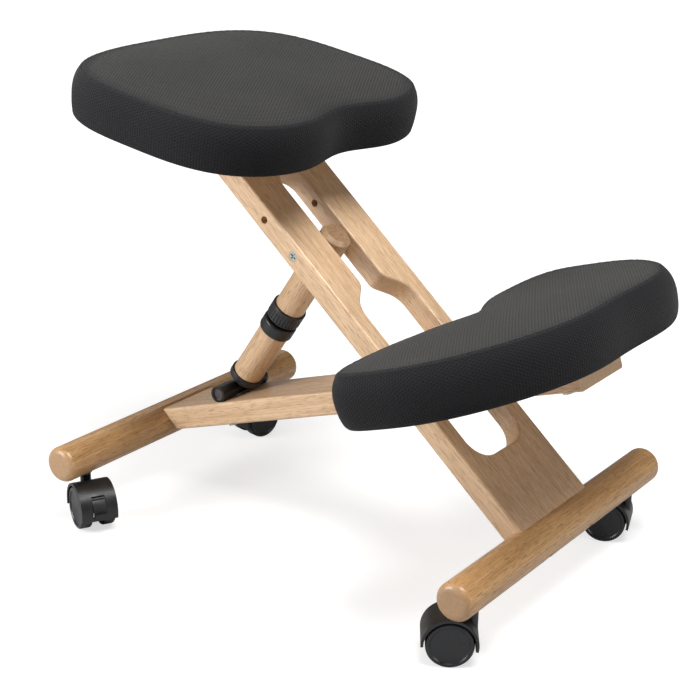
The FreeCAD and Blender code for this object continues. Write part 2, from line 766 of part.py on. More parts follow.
for direction in (-1, 1):
    x0 = direction * (wood / 2 + face_clearance)
    x1 = direction * (narrow_slot_width / 2)
    washer = cross_rod(strut_washer_diameter, x0, x1)
    washer = washer.cut(cross_rod(strut_bolt_diameter + 2 * hole_clearance, -50, 50))
    washers.append(place(washer, bolt_frame))
nodes["strut_washers"] = group(washers)

# Seat pad on the seat arm, with a wedge in front of the arm's end

slope = math.tan(seat_to_arm)
arm_depth = seat_arm_thick / math.cos(seat_to_arm)
bevel_length = seat_arm_thick / math.sin(seat_to_arm)
head_drop = pad_bolt_recess_diameter / 2 * slope + pad_bolt_ledge
rear_depth = (bevel_length - seat_rear_bolt_place) * slope
front_depth = -seat_front_bolt_place * slope + arm_depth
seat_bolt_places = []
for x in (-seat_bolt_half_gap, seat_bolt_half_gap):
    seat_bolt_places.append((x, seat_rear_bolt_place, head_drop - rear_depth))
    seat_bolt_places.append((x, seat_front_bolt_place, head_drop - front_depth))
wedge = Part.Face(Part.makePolygon([
    V(-seat_wedge_half_width, 0, 0), V(-seat_wedge_half_width, -seat_wedge_length, 0),
    V(-seat_wedge_half_width, -seat_wedge_length, -seat_wedge_length * slope),
    V(-seat_wedge_half_width, 0, 0),
])).extrude(V(2 * seat_wedge_half_width, 0, 0))
for x, y, head_top in seat_bolt_places:
    space = pad_bolt_space(x, y, head_top)
    seat_board_wood = seat_board_wood.cut(place(space, seat_frame))
    wedge = wedge.cut(up_rod(pad_bolt_diameter + 2 * hole_clearance, -80, 5, x, y))
nodes["seat_wedge"] = place(wedge, seat_frame)
nodes["seat_bolts"] = group([place(pad_bolt(*spot), seat_frame) for spot in seat_bolt_places])
nodes["seat_tee_nuts"] = group([place(tee_nut(x, y), seat_frame) for x, y, z in seat_bolt_places])
seat_places = [(x, y) for x, y, z in seat_bolt_places]
nodes["seat_board"] = place(pad_board(seat_pad, seat_places), seat_frame)
nodes["seat_cushion"] = place(pad_cushion(seat_pad), seat_frame)

# Knee pad on the knee arm

knee_places = []
for x in (-knee_bolt_half_gap, knee_bolt_half_gap):
    for y in knee_bolt_places:
        knee_places.append((x, y))
knee_bolts = []
for x, y in knee_places:
    knee_bolts.append(place(pad_bolt(x, y, -knee_arm_thick), knee_pad_frame))
    space = up_rod(pad_bolt_diameter + 2 * hole_clearance, -knee_arm_thick - 1, 1, x, y)
    knee_board_wood = knee_board_wood.cut(place(space, knee_pad_frame))
nodes["knee_bolts"] = group(knee_bolts)
nodes["knee_tee_nuts"] = group([place(tee_nut(x, y), knee_pad_frame) for x, y in knee_places])
nodes["knee_board"] = place(pad_board(knee_pad, knee_places), knee_pad_frame)
nodes["knee_cushion"] = place(pad_cushion(knee_pad), knee_pad_frame)

nodes["seat_arm"] = seat_board_wood
nodes["knee_arm"] = knee_board_wood
nodes["front_foot_bar"] = front_bar
nodes["rear_foot_bar"] = rear_bar

# Casters: y points along the trail, x along the axle

axle_height = wheel_diameter / 2
wheel_inner = wheel_gap / 2
wheel_outer = wheel_inner + wheel_width
collar_low = hood_neck_top + face_clearance


def arc_plate(inner, outer, start, end, width):
    """A curved plate about the axle, between two angles measured up from the trail direction."""
    def at(radius, degrees):
        angle = math.radians(degrees)
        return V(-width / 2, radius * math.cos(angle), radius * math.sin(angle))
    middle = (start + end) / 2
    edges = [
        Part.Arc(at(outer, start), at(outer, middle), at(outer, end)).toShape(),
        Part.LineSegment(at(outer, end), at(inner, end)).toShape(),
        Part.Arc(at(inner, end), at(inner, middle), at(inner, start)).toShape(),
        Part.LineSegment(at(inner, start), at(outer, start)).toShape(),
    ]
    return Part.Face(Part.Wire(edges)).extrude(V(width, 0, 0))


def caster_hood(braked):
    """The hood: a curved cover over both wheels, a web between them and a neck for the stem."""
    start = braked_hood_start_angle if braked else hood_start_angle
    cover = arc_plate(hood_inner, hood_outer, start, hood_end_angle, hood_width)
    web = arc_plate(hood_web_root, hood_inner + hole_clearance, 0, hood_web_end_angle, hood_web)
    boss = cross_rod(hood_axle_boss, -hood_web / 2, hood_web / 2)
    if braked:
        low, high = lever_window_low_angle, lever_window_high_angle
        window = arc_plate(hood_inner - 4, hood_outer + 6, low, high, lever_width + 2 * lever_gap)
        cover = cover.cut(window)
        web = web.cut(window)
        ear_place = math.radians(lever_pin_angle)
        y, z = lever_pin_radius * math.cos(ear_place), lever_pin_radius * math.sin(ear_place)
        pin_hole = cross_rod(lever_pin_diameter, -lever_width, lever_width, y, z)
        cover = cover.cut(pin_hole)
    hood = join(cover, web, boss)
    hood = hood.cut(cross_rod(caster_axle_diameter, -30, 30))
    hood.translate(V(0, caster_trail, axle_height))
    hood = join(hood, up_rod(hood_neck_diameter, hood_neck_bottom, hood_neck_top))
    bore = up_rod(stem_diameter + 2 * running_clearance, stem_bottom - face_clearance, hood_neck_top + 1)
    return hood.cut(bore)


def caster_wheel(side):
    """One wheel of the pair, with rounded tread corners, a dished face and a blind bore."""
    x0, x1 = wheel_inner, wheel_outer
    radius, dish = wheel_diameter / 2, wheel_dish_radius
    r = wheel_edge_round
    k = r * (1 - math.sqrt(0.5))
    bore = caster_axle_diameter / 2 + running_clearance
    blind = x1 - wheel_dish_depth - wheel_face
    edges = [
        Part.LineSegment(V(x0, 0, bore), V(x0, 0, radius - r)).toShape(),
        Part.Arc(V(x0, 0, radius - r), V(x0 + k, 0, radius - k), V(x0 + r, 0, radius)).toShape(),
        Part.LineSegment(V(x0 + r, 0, radius), V(x1 - r, 0, radius)).toShape(),
        Part.Arc(V(x1 - r, 0, radius), V(x1 - k, 0, radius - k), V(x1, 0, radius - r)).toShape(),
        Part.LineSegment(V(x1, 0, radius - r), V(x1, 0, dish)).toShape(),
        Part.LineSegment(V(x1, 0, dish), V(x1 - wheel_dish_depth, 0, dish - wheel_dish_depth)).toShape(),
        Part.LineSegment(V(x1 - wheel_dish_depth, 0, dish - wheel_dish_depth),
                         V(x1 - wheel_dish_depth, 0, 0)).toShape(),
        Part.LineSegment(V(x1 - wheel_dish_depth, 0, 0), V(blind, 0, 0)).toShape(),
        Part.LineSegment(V(blind, 0, 0), V(blind, 0, bore)).toShape(),
        Part.LineSegment(V(blind, 0, bore), V(x0, 0, bore)).toShape(),
    ]
    wheel = Part.Face(Part.Wire(edges)).revolve(V(0, 0, 0), X_AXIS, 360)
    if side < 0:
        wheel = wheel.mirror(V(0, 0, 0), X_AXIS)
    wheel.translate(V(0, caster_trail, axle_height))
    return wheel


def brake_lever():
    """A lever let into the hood's window, lifted clear of the wheels, with a tab to press."""
    pin = math.radians(lever_pin_angle)
    pivot_y, pivot_z = lever_pin_radius * math.cos(pin), lever_pin_radius * math.sin(pin)
    inner = lever_pin_radius - lever_thick / 2
    low = lever_window_low_angle + 2
    plate = arc_plate(inner, inner + lever_thick, low, lever_pin_angle, lever_width)
    tab = arc_plate(inner, inner + lever_thick + lever_tab, low, low + 7, lever_width)
    hub = cross_rod(lever_thick * 2, -lever_width / 2, lever_width / 2, pivot_y, pivot_z)
    lever = join(plate, tab, hub)
    lift = math.degrees(lever_lift / (math.radians(lever_pin_angle - low) * lever_pin_radius))
    lever.rotate(V(0, pivot_y, pivot_z), X_AXIS, lift)
    hole = lever_pin_diameter + 2 * running_clearance
    lever = lever.cut(cross_rod(hole, -lever_width, lever_width, pivot_y, pivot_z))
    lever.translate(V(0, caster_trail, axle_height))
    return lever


sockets = {"front": [], "rear": []}
stems = {"front": [], "rear": []}
stem_top = bar_clear_height + socket_depth - stem_top_gap
for name, trail_angle in caster_trail_angles.items():
    end, side = name.split("_")
    x = caster_side if side == "left" else -caster_side
    y = front_bar_axis.y if end == "front" else rear_bar_axis.y
    caster_frame = FreeCAD.Placement(V(x, y, 0), FreeCAD.Rotation(Z_AXIS, trail_angle - 90))
    braked = end == "rear"
    nodes["hood_" + name] = place(caster_hood(braked), caster_frame)
    axle = cross_rod(caster_axle_diameter, -wheel_outer + 3.2, wheel_outer - 3.2, caster_trail, axle_height)
    nodes["axle_" + name] = place(axle, caster_frame)
    nodes["wheel_a_" + name] = place(caster_wheel(-1), caster_frame)
    nodes["wheel_b_" + name] = place(caster_wheel(1), caster_frame)
    if braked:
        nodes["brake_lever_" + name] = place(brake_lever(), caster_frame)
        angle = math.radians(lever_pin_angle)
        pin_y = caster_trail + lever_pin_radius * math.cos(angle)
        pin_z = axle_height + lever_pin_radius * math.sin(angle)
        half_pin = lever_width / 2 + 3
        pin = cross_rod(lever_pin_diameter, -half_pin, half_pin, pin_y, pin_z)
        nodes["brake_pin_" + name] = place(pin, caster_frame)
    flange_low = bar_clear_height
    socket = join(
        up_rod(socket_diameter, flange_low, bar_clear_height + socket_depth),
        up_rod(socket_flange_diameter, flange_low, flange_low + socket_flange_thick),
    ).cut(up_rod(stem_diameter, 0, bar_clear_height + socket_depth - 1))
    sockets[end].append(place(socket, caster_frame))
    stem = join(
        up_rod(stem_diameter, stem_bottom, stem_top),
        up_rod(stem_collar_diameter, collar_low, collar_low + stem_collar_thick),
    )
    stems[end].append(place(stem, caster_frame))
for end in ("front", "rear"):
    nodes[end + "_caster_sockets"] = group(sockets[end])
    nodes[end + "_caster_stems"] = group(stems[end])

# Put the origin on the floor under the middle of the whole object, and write the parts

boxes = [shape.optimalBoundingBox() for shape in nodes.values()]
y_low, y_high = min(box.YMin for box in boxes), max(box.YMax for box in boxes)
z_low, z_high = min(box.ZMin for box in boxes), max(box.ZMax for box in boxes)
shift = V(0, -(y_low + y_high) / 2, -z_low)
os.makedirs("parts", exist_ok=True)
for name, shape in sorted(nodes.items()):
    valid = shape.isValid() and all(solid.isValid() for solid in shape.Solids)
    print("node %-28s solids %d volume %.1f valid %s" % (name, len(shape.Solids), shape.Volume, valid))
    shape.translated(shift).exportStep("parts/" + name + ".step")

print("overall length %.1f height %.1f" % (y_high - y_low, z_high - z_low))
for name, point in (
    ("pivot", pivot), ("foot_pivot", foot_pivot), ("strut_pin", strut_pin),
    ("spare_hole", on_seat_arm(0, spare_hole_reach, 0)),
    ("front_bar", front_bar_axis), ("rear_bar", rear_bar_axis),
    ("seat_frame", seat_frame.Base), ("knee_pad_frame", knee_pad_frame.Base),
):
    print("place %-16s %.4f %.4f %.4f" % ((name,) + tuple(point + shift)))
print("strut_length %.4f" % strut_length)
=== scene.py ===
# %% [markdown]
# # A kneeling chair
# The chair has a padded seat and a padded knee rest. Each sits on a wooden arm, the arms cross like
# scissors, and a screw strut behind the crossing sets how far they are open. The solid parts come from
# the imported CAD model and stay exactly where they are. This lesson gives them their finishes, makes the
# two upholstered pads as real cloth, and sets up a studio and a camera.
# %% Load the frame
import json
import math

import bpy
import numpy as np
from mathutils import Matrix, Vector


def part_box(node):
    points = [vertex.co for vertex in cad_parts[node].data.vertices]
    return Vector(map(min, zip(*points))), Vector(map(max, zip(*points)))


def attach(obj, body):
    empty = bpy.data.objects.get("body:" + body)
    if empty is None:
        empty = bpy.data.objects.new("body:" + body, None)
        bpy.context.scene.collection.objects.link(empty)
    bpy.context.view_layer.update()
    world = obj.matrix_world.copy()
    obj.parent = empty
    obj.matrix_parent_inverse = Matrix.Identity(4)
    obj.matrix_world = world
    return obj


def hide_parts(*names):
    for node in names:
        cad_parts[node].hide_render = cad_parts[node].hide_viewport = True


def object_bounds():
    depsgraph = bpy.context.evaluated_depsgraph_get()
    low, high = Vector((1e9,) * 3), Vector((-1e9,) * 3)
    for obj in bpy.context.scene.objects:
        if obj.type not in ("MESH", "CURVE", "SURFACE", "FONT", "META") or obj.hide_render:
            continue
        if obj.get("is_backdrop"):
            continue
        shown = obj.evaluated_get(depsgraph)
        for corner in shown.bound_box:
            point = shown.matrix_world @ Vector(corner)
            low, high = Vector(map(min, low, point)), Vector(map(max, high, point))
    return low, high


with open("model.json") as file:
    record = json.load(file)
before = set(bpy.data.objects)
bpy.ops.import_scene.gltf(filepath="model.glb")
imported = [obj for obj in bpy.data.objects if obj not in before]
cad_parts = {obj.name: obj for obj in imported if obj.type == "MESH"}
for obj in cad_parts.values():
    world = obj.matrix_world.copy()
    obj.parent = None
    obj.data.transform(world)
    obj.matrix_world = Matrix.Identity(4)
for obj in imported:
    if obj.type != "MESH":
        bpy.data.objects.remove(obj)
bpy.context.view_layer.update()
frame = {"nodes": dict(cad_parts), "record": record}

nodes = frame["nodes"]
scene = bpy.context.scene

# %% [markdown]
# ## Where things are
# The arms, the strut and the pads are all tilted. Every place below is counted from the axis of a foot
# bar, because the boxes of the bars are easy to read and the arms start there. A reach is measured along
# an arm and a rise square to it.
# %% Places on the chair
MM = 0.001
low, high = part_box("front_foot_bar")
front_bar = (low + high) / 2
low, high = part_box("rear_foot_bar")
rear_bar = (low + high) / 2
SEAT_ARM_ANGLE = math.radians(40.5)
KNEE_ARM_ANGLE = math.radians(18.7)
SEAT_PITCH = math.radians(8.8)
SEAT_REACH, SEAT_RISE = 573 * MM, 13 * MM
KNEE_REACH, KNEE_RISE = 536 * MM, 15.05 * MM
STRUT_FOOT_REACH, STRUT_FOOT_RISE = 107 * MM, 24.55 * MM
STRUT_TOP_REACH = 401 * MM


def about_x(origin, angle):
    """A frame at origin, turned about X."""
    return Matrix.Translation(origin) @ Matrix.Rotation(angle, 4, "X")


seat_arm = about_x(front_bar, SEAT_ARM_ANGLE)
knee_arm = about_x(rear_bar, -KNEE_ARM_ANGLE)
seat_place = about_x(seat_arm @ Vector((0, SEAT_REACH, SEAT_RISE)), SEAT_PITCH)
knee_place = about_x(knee_arm @ Vector((0, -KNEE_REACH, KNEE_RISE)), -KNEE_ARM_ANGLE)
strut_foot = knee_arm @ Vector((0, -STRUT_FOOT_REACH, STRUT_FOOT_RISE))
strut_top = seat_arm @ Vector((0, STRUT_TOP_REACH, 0))
strut_run = strut_top - strut_foot
strut_lean = math.atan2(-strut_run.y, strut_run.z)
print("front bar", tuple(round(v, 4) for v in front_bar))
print("strut leans", round(math.degrees(strut_lean), 2), "degrees")

# %% [markdown]
# ## The camera
# The photograph was taken from the front right, a little above the seat, with a long lens. The lens,
# the turn and the small roll were worked out from the straight edges of the bars and the boards.
# %% Camera
VIEW_TURN = math.radians(-56.230)
VIEW_RISE = math.radians(21.849)
VIEW_ROLL = math.radians(1.712)
VIEW_DISTANCE = 1.820075
AIM_FROM_FRONT_BAR = Vector((0, 226.327 * MM, 95.06 * MM))
SENSOR_WIDTH = 36.0
PIXELS = 700
FOCAL_PIXELS = 1616.69
CENTRE_X, CENTRE_Y = 385.859, 396.431

back = Vector((math.sin(VIEW_TURN) * math.cos(VIEW_RISE),
               -math.cos(VIEW_TURN) * math.cos(VIEW_RISE),
               math.sin(VIEW_RISE)))
right = (-back).cross(Vector((0, 0, 1))).normalized()
up = right.cross(-back)
rolled_right = right * math.cos(VIEW_ROLL) + up * math.sin(VIEW_ROLL)
rolled_up = up * math.cos(VIEW_ROLL) - right * math.sin(VIEW_ROLL)
eye = front_bar + AIM_FROM_FRONT_BAR + back * VIEW_DISTANCE
camera_data = bpy.data.cameras.new("camera")
camera = bpy.data.objects.new("camera", camera_data)
scene.collection.objects.link(camera)
camera.matrix_world = Matrix((
    (rolled_right.x, rolled_up.x, back.x, eye.x),
    (rolled_right.y, rolled_up.y, back.y, eye.y),
    (rolled_right.z, rolled_up.z, back.z, eye.z),
    (0, 0, 0, 1)))
camera_data.sensor_width = SENSOR_WIDTH
camera_data.lens = FOCAL_PIXELS * SENSOR_WIDTH / PIXELS
camera_data.shift_x = (PIXELS / 2 - CENTRE_X) / PIXELS
camera_data.shift_y = (CENTRE_Y - PIXELS / 2) / PIXELS
scene.camera = camera
print("lens", round(camera_data.lens, 2), "mm")

# %% [markdown]
# ## A small tool for shader nodes
# Node trees are long to write by hand. This helper adds a node, sets its sockets and links it in one
# call, so the recipes below read like a list of steps.
# %% Node helper


class Recipe:
    """Adds nodes to one tree. A socket given as a number or colour is set, anything else is linked.

    Sockets are given by name, with an underscore for each space, or by place, such as i0 for the first.
    """

    def __init__(self, tree):
        self.tree = tree

    def add(self, kind, settings=None, **sockets):
        node = self.tree.nodes.new("ShaderNode" + kind)
        for name, value in (settings or {}).items():
            setattr(node, name, value)
        for name, value in sockets.items():
            self.put(node, name.replace("_", " "), value)
        return node

    def put(self, node, name, value):
        socket = node.inputs[int(name[1:])] if name[0] == "i" and name[1:].isdigit() else node.inputs[name]
        if isinstance(value, bpy.types.NodeSocket):
            self.tree.links.new(value, socket)
        elif isinstance(value, (int, float)):
            socket.default_value = value
        else:
            size = len(socket.default_value)
            socket.default_value = (list(value) + [1.0])[:size]

    def math(self, operation, a, b=0.0, clamp=False):
        node = self.add("Math", {"operation": operation, "use_clamp": clamp}, i0=a, i1=b)
        return node.outputs[0]

    def vector(self, operation, a, b=(0, 0, 0)):
        return self.add("VectorMath", {"operation": operation}, i0=a, i1=b).outputs[0]

    def noise(self, vector, scale, detail=2.0, distortion=0.0):
        return self.add("TexNoise", Vector=vector, Scale=scale, Detail=detail,
                        Distortion=distortion).outputs["Fac"]

    def span(self, value, low, high, out_low=0.0, out_high=1.0):
        node = self.add("MapRange", {"interpolation_type": "SMOOTHSTEP"})
        self.put(node, "Value", value)
        limits = (("From Min", low), ("From Max", high), ("To Min", out_low), ("To Max", out_high))
        for name, number in limits:
            self.put(node, name, number)
        return node.outputs["Result"]

    def mix(self, share, a, b):
        node = self.add("Mix", {"data_type": "RGBA"})
        self.put(node, "i0", share)
        self.put(node, "i6", a)
        self.put(node, "i7", b)
        return node.outputs[2]


def new_group(name, inputs, outputs):
    """A shader node group with named sockets. Returns (group, recipe, its inputs, its output node)."""
    group = bpy.data.node_groups.new(name, "ShaderNodeTree")
    for socket, kind, value in inputs:
        made = group.interface.new_socket(name=socket, in_out="INPUT", socket_type="NodeSocket" + kind)
        if value is not None:
            made.default_value = value
    for socket, kind in outputs:
        group.interface.new_socket(name=socket, in_out="OUTPUT", socket_type="NodeSocket" + kind)
    recipe = Recipe(group)
    taken = group.nodes.new("NodeGroupInput").outputs
    given = group.nodes.new("NodeGroupOutput")
    return group, recipe, taken, given


# %% [markdown]
# ## The studio
# A catalogue picture is lit by large soft boxes, so nothing has a hard shadow. One hangs above and in
# front of the chair, so the seat shades the arm under it. One stands low at the chair's right rear and
# lights the faces on that side. A weak one in front reaches under the knee pad, and a weaker one behind
# draws the edges. The world is white to the camera but lights the chair only weakly. The floor is pale
# grey, with a glow that only the camera sees and that grows with distance, so the floor fades to white
# before its horizon.
# %% Soft lights
scene.view_settings.view_transform = "Standard"


def soft_box(name, at, aim, size, power):
    """A square area lamp that looks at a point."""
    lamp = bpy.data.lights.new(name, "AREA")
    lamp.shape = "SQUARE"
    lamp.size = size
    lamp.energy = power
    box = bpy.data.objects.new(name, lamp)
    scene.collection.objects.link(box)
    box.location = at
    box.rotation_euler = (Vector(at) - Vector(aim)).to_track_quat("Z", "Y").to_euler()


soft_box("overhead_soft_box", (-0.3, -0.6, 2.2), (0, 0, 0.3), 1.1, 52)
soft_box("side_soft_box", (-1.3, 0.95, 0.75), (-0.1, 0.1, 0.25), 0.8, 24)
soft_box("front_soft_box", (0.3, -2.2, 0.9), (0, -0.1, 0.2), 0.9, 9)
soft_box("rear_soft_box", (1.6, 1.6, 1.5), (0, 0, 0.3), 1.2, 3)

# %% World and floor
WHITE = (1, 1, 1)
FLOOR_GREY = (0.55, 0.55, 0.55)
FLOOR_REACH = 12.0
WORLD_LIGHT = 0.13

world = bpy.data.worlds.new("studio")
scene.world = world
world.use_nodes = True
world.node_tree.nodes.clear()
r = Recipe(world.node_tree)
path = r.add("LightPath").outputs
seen = r.math("MAXIMUM", path["Is Camera Ray"], path["Is Transmission Ray"])
lit = r.add("Background", Color=WHITE, Strength=WORLD_LIGHT)
shown = r.add("Background", Color=WHITE, Strength=1.0)
mix = r.add("MixShader", i0=seen, i1=lit.outputs[0], i2=shown.outputs[0])
r.add("OutputWorld", Surface=mix.outputs[0])

floor_mesh = bpy.data.meshes.new("studio_floor")
corners = [(x * FLOOR_REACH, y * FLOOR_REACH, 0) for x, y in ((-1, -1), (1, -1), (1, 1), (-1, 1))]
floor_mesh.from_pydata(corners, [], [(0, 1, 2, 3)])
floor = bpy.data.objects.new("studio_floor", floor_mesh)
scene.collection.objects.link(floor)
floor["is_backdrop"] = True
floor_paint = bpy.data.materials.new("white_floor")
floor_paint.use_nodes = True
floor_paint.node_tree.nodes.clear()
r = Recipe(floor_paint.node_tree)
path = r.add("LightPath").outputs
spot = r.add("TexCoord").outputs["Object"]
away = r.add("VectorMath", {"operation": "LENGTH"}, i0=spot).outputs["Value"]
fade = r.add("MapRange", Value=away, From_Min=0.6, From_Max=2.2, To_Min=0.62, To_Max=1.0)
level = r.math("MULTIPLY", path["Is Camera Ray"], fade.outputs["Result"])
matt = r.add("BsdfDiffuse", Color=FLOOR_GREY)
glow = r.add("Emission", Strength=level)
both = r.add("AddShader", i0=matt.outputs[0], i1=glow.outputs[0])
r.add("OutputMaterial", Surface=both.outputs[0])
floor_mesh.materials.append(floor_paint)
print("studio ready")

# %% [markdown]
# ## Timber
# The boards are a pale, straight-grained hardwood under a satin varnish. Three things make it look like
# wood and not like paint: broad growth bands that run nearly parallel to the board, fine fibres, and
# short dark pores. All three are noise stretched along the grain. Glued-up boards get a new tone and a
# new piece of grain in every strip, and end grain, which drinks more varnish, gets a tone of its own.
# On the strut that end tone is made darker still, as painted shade of the seat on the dowel's top.
# %% Timber group
timber, r, taken, given = new_group(
    "timber",
    [("Turn", "Vector", None), ("Strip", "Float", 0.047), ("Pale", "Color", None), ("Dark", "Color", None),
     ("Pore", "Color", None), ("End", "Color", None)],
    [("Color", "Color"), ("Roughness", "Float"), ("Height", "Float")])
spot = r.add("TexCoord")
turned = r.add("VectorRotate", {"rotation_type": "EULER_XYZ"}, Vector=spot.outputs["Object"],
               Rotation=taken["Turn"]).outputs[0]
facing = r.add("VectorRotate", {"rotation_type": "EULER_XYZ"}, Vector=spot.outputs["Normal"],
               Rotation=taken["Turn"]).outputs[0]
apart = r.add("SeparateXYZ", Vector=turned)
strip = r.math("FLOOR", r.math("DIVIDE", r.math("ADD", apart.outputs["X"], 0.0235), taken["Strip"]))
chance = r.add("TexWhiteNoise", {"noise_dimensions": "1D"}, W=strip)
piece = r.vector("ADD", turned, r.vector("MULTIPLY", chance.outputs["Color"], (0.9, 3.0, 0.7)))
bands = r.noise(r.vector("MULTIPLY", piece, (1.0, 0.085, 1.0)), 17.0, 1.5, 0.25)
rings = r.math("SINE", r.math("MULTIPLY", bands, 95.0))
rings = r.span(rings, -1.0, 1.0)
fibres = r.noise(r.vector("MULTIPLY", piece, (1.0, 0.016, 1.0)), 760.0, 3.0)
pores = r.span(r.noise(r.vector("MULTIPLY", piece, (1.0, 0.040, 1.0)), 1900.0, 1.0), 0.56, 0.68)
clouds = r.noise(r.vector("MULTIPLY", piece, (1.0, 0.2, 1.0)), 14.0, 2.0)
share = r.math("MULTIPLY", rings, 0.26)
share = r.math("ADD", share, r.math("MULTIPLY", r.span(fibres, 0.3, 0.7), 0.46))
share = r.math("ADD", share, r.math("MULTIPLY", clouds, 0.34))
share = r.math("ADD", share, r.math("MULTIPLY", chance.outputs["Value"], 0.22))
share = r.math("SUBTRACT", share, 0.26, True)
colour = r.mix(share, taken["Pale"], taken["Dark"])
colour = r.mix(r.math("MULTIPLY", pores, 0.70), colour, taken["Pore"])
end_on = r.span(r.math("ABSOLUTE", r.add("SeparateXYZ", Vector=facing).outputs["Y"]), 0.50, 0.90)
end_rings = r.span(r.noise(r.vector("MULTIPLY", turned, (1.0, 0.0, 1.0)), 260.0, 3.0), 0.35, 0.65)
end_colour = r.mix(r.math("MULTIPLY", end_rings, 0.35), taken["End"], taken["Dark"])
colour = r.mix(end_on, colour, end_colour)
r.put(given, "Color", colour)
r.put(given, "Roughness", r.math("ADD", r.math("MULTIPLY", pores, 0.18), r.math("MULTIPLY", fibres, 0.22)))
r.put(given, "Height", r.math("SUBTRACT", r.math("MULTIPLY", fibres, 0.5), pores))
print("timber group:", len(timber.nodes), "nodes")

# %% Timber materials


def new_material(name):
    """An empty material with a Principled shader. Returns (material, recipe, shader)."""
    material = bpy.data.materials.new(name)
    material.use_nodes = True
    recipe = Recipe(material.node_tree)
    return material, recipe, material.node_tree.nodes["Principled BSDF"]


def bump(recipe, height, strength, distance):
    """A bump from a height that changes over the surface."""
    return recipe.add("Bump", Strength=strength, Distance=distance, Height=height).outputs[0]


def varnished(name, turn, strip=10.0, pale=(0.72, 0.50, 0.31), dark=(0.50, 0.30, 0.155),
              pore=(0.27, 0.145, 0.07), end=(0.66, 0.47, 0.30), roughness=0.30, coat=0.35):
    """Satin-varnished timber whose grain runs along Y once the piece is turned by turn."""
    material, r, shader = new_material(name)
    wood = r.add("Group", {"node_tree": timber}, Turn=turn, Strip=strip, Pale=pale, Dark=dark, Pore=pore,
                 End=end)
    r.put(shader, "Base Color", wood.outputs["Color"])
    r.put(shader, "Roughness", r.math("ADD", wood.outputs["Roughness"], roughness))
    r.put(shader, "Normal", bump(r, wood.outputs["Height"], 0.35, 0.0003))
    r.put(shader, "Coat Weight", coat)
    r.put(shader, "Coat Roughness", 0.18)
    return material


def dress(material, *names):
    """Give CAD nodes one material."""
    for name in names:
        nodes[name].data.materials.clear()
        nodes[name].data.materials.append(material)


dress(varnished("seat_arm_timber", (-SEAT_ARM_ANGLE, 0, 0), strip=0.0475), "seat_arm")
dress(varnished("knee_arm_timber", (KNEE_ARM_ANGLE, 0, 0), strip=0.0452), "knee_arm")
bar_turn = (0, 0, math.radians(90))
dress(varnished("foot_bar_timber", bar_turn, pale=(0.60, 0.350, 0.150), dark=(0.32, 0.160, 0.054),
                pore=(0.13, 0.055, 0.020),
                end=(0.40, 0.245, 0.130)), "front_foot_bar", "rear_foot_bar")
dowel_turn = (math.radians(-90) - strut_lean, 0, 0)
# The strut's end colour is far darker than the other end grain: the end grain's own tone plus painted
# shade of the seat on the dowel's top end.
dress(varnished("strut_timber", dowel_turn, pale=(0.70, 0.48, 0.29), dark=(0.50, 0.31, 0.165),
                end=(0.25, 0.145, 0.075)),
      "strut_dowel", "strut_grip")
dress(varnished("wedge_timber", (-SEAT_ARM_ANGLE, 0, 0)), "seat_wedge")
dress(varnished("birch_plywood", (0, 0, math.radians(90)), strip=0.6, pale=(0.66, 0.50, 0.33),
                dark=(0.52, 0.37, 0.23), roughness=0.45, coat=0.0), "seat_board", "knee_board")

# %% [markdown]
# ## Black plastic, nylon and steel
# Moulded plastic is never perfectly smooth. A very fine texture breaks its highlights, and dust and
# handling make its gloss uneven. One small group makes both, at a scale that each material chooses.
# %% Moulding group
moulding, r, taken, given = new_group(
    "moulding", [("Scale", "Float", 1500.0)], [("Mask", "Float"), ("Height", "Float")])
spot = r.add("TexCoord").outputs["Object"]
r.put(given, "Mask", r.span(r.noise(spot, 60.0, 3.0), 0.35, 0.65))
r.put(given, "Height", r.noise(spot, taken["Scale"], 2.0))


def moulded(name, colour, roughness, scale=1500.0, strength=0.12, paler=1.35, metallic=0.0):
    """A moulded or turned material with a fine texture and an uneven gloss."""
    material, r, shader = new_material(name)
    fine = r.add("Group", {"node_tree": moulding}, Scale=scale)
    other = tuple(min(1.0, c * paler) for c in colour)
    r.put(shader, "Base Color", r.mix(fine.outputs["Mask"], colour, other))
    gloss = r.math("MULTIPLY", fine.outputs["Mask"], 0.10)
    r.put(shader, "Roughness", r.math("ADD", gloss, roughness))
    r.put(shader, "Normal", bump(r, fine.outputs["Height"], strength, 0.0002))
    r.put(shader, "Metallic", metallic)
    return material


black_plastic = moulded("black_plastic", (0.010, 0.010, 0.011), 0.34)
wheel_nylon = moulded("wheel_nylon", (0.010, 0.011, 0.0135), 0.26, scale=900.0)
zinc = moulded("zinc_plated_steel", (0.56, 0.56, 0.55), 0.30, scale=2500.0, strength=0.08, paler=1.1,
               metallic=1.0)
bright = moulded("bright_steel", (0.40, 0.41, 0.38), 0.28, scale=2500.0, strength=0.05, paler=1.05,
                 metallic=1.0)
dark_steel = moulded("dark_steel", (0.16, 0.16, 0.165), 0.34, scale=2500.0, strength=0.08, paler=1.2,
                     metallic=1.0)
finishes = {"black_plastic": black_plastic, "wheel_nylon": wheel_nylon, "zinc_steel": zinc,
            "bright_steel": bright, "dark_steel": dark_steel}
plain = [s for s in frame["record"]["subparts"] if s["material_slot"] in finishes]
for subpart in plain:
    dress(finishes[subpart["material_slot"]], subpart["node"])
print("plain finishes on", len(plain), "nodes")

